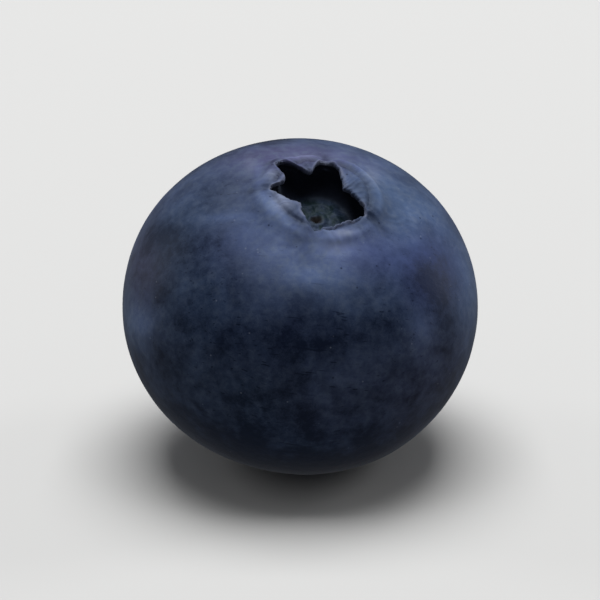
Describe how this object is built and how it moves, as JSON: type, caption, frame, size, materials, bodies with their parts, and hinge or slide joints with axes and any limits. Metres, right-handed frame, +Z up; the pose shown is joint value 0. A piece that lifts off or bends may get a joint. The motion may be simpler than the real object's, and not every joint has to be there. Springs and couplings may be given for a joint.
{
  "type": "blueberry",
  "caption": "Round ripe blueberry with a waxy blue skin, a low lobed calyx folded over a star-shaped pit, a stalk scar and a small flat spot to rest on; eaten fresh.",
  "frame": {"origin": "on the resting surface, under the middle of the berry's box", "axes": "+Z up from the resting surface; -Y to the front, the side the picture was taken from; +X to the picture's right. The crown leans 20 degrees from +Z towards the front and a little to the right"},
  "size_m": [0.018, 0.0178, 0.0162],
  "materials": {
    "blueberry_skin": "matte"
  },
  "bodies": {
    "root": {"blueberry": "blueberry_skin"}
  },
  "joints": []
}
